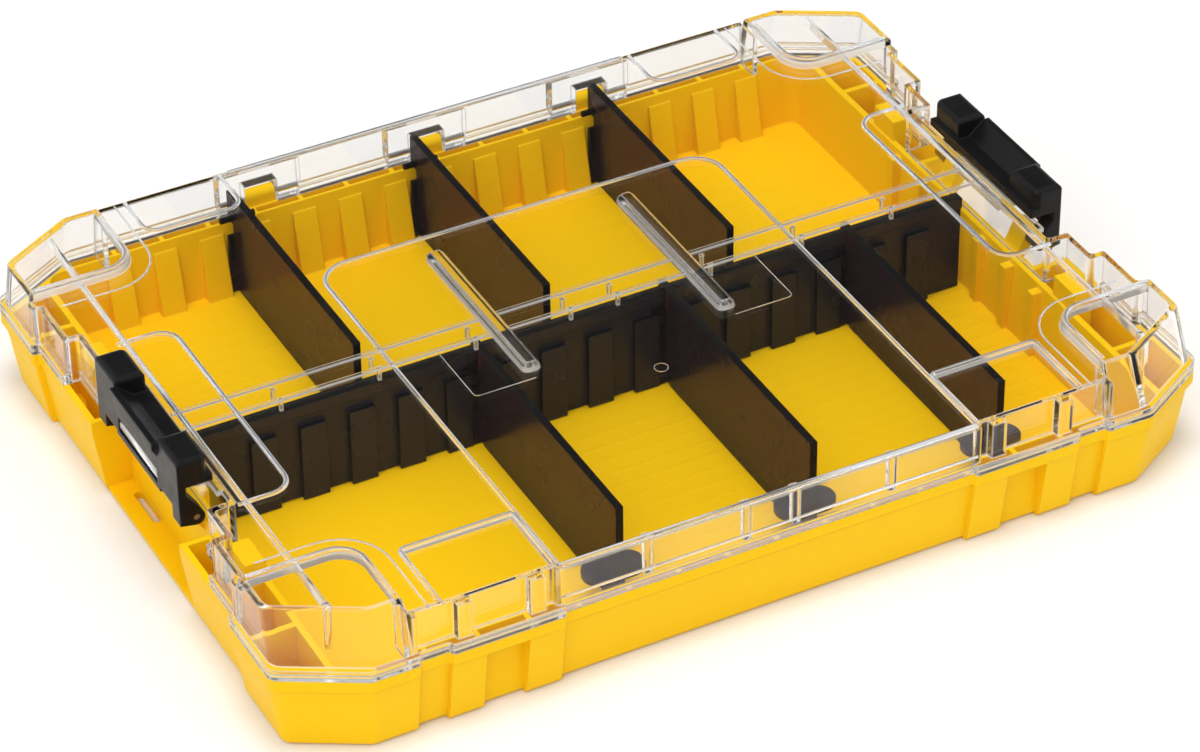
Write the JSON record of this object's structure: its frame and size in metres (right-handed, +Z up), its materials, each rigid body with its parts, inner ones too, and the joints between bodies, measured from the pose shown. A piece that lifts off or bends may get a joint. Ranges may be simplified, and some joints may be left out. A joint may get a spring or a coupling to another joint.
{
  "type": "saw blade storage case",
  "caption": "Low wide organiser case: moulded yellow tray with removable smoke dividers, clear hinged lid and black side latches.",
  "frame": {"origin": "middle of the case's outline on the plane that the case rests on", "axes": "+X along the long side towards the right-hand latch, +Y towards the hinges, +Z up"},
  "size_m": [0.3768, 0.2868, 0.066],
  "materials": {
    "tray_yellow": "satin moulded polypropylene",
    "lid_clear": "clear moulded polycarbonate",
    "latch_black": "satin moulded nylon",
    "divider_smoke": "smoky moulded plastic",
    "pin_steel": "drawn wire"
  },
  "bodies": {
    "tray": {"base_tray": "tray_yellow", "hinge_pin_left": "pin_steel", "hinge_pin_centre": "pin_steel", "hinge_pin_right": "pin_steel", "latch_pin_left": "pin_steel", "latch_pin_right": "pin_steel", "long_divider": "divider_smoke", "rear_divider_1": "divider_smoke", "rear_divider_2": "divider_smoke", "rear_divider_3": "divider_smoke", "front_divider_1": "divider_smoke", "front_divider_2": "divider_smoke", "front_divider_3": "divider_smoke"},
    "lid": {"lid": "lid_clear"},
    "latch_left": {"latch_left": "latch_black"},
    "latch_right": {"latch_right": "latch_black"}
  },
  "joints": [
    {"name": "lid_hinge", "type": "hinge", "parent": "tray", "child": "lid", "pos_m": [0, 0.1399, 0.037], "axis": [-1, 0, 0], "range_deg": [0, 110]},
    {"name": "latch_right_hinge", "type": "hinge", "parent": "tray", "child": "latch_right", "pos_m": [0.1765, -0.002, 0.04], "axis": [0, 1, 0], "range_deg": [0, 95]},
    {"name": "latch_left_hinge", "type": "hinge", "parent": "tray", "child": "latch_left", "pos_m": [-0.1765, -0.002, 0.04], "axis": [0, -1, 0], "range_deg": [0, 95]}
  ]
}
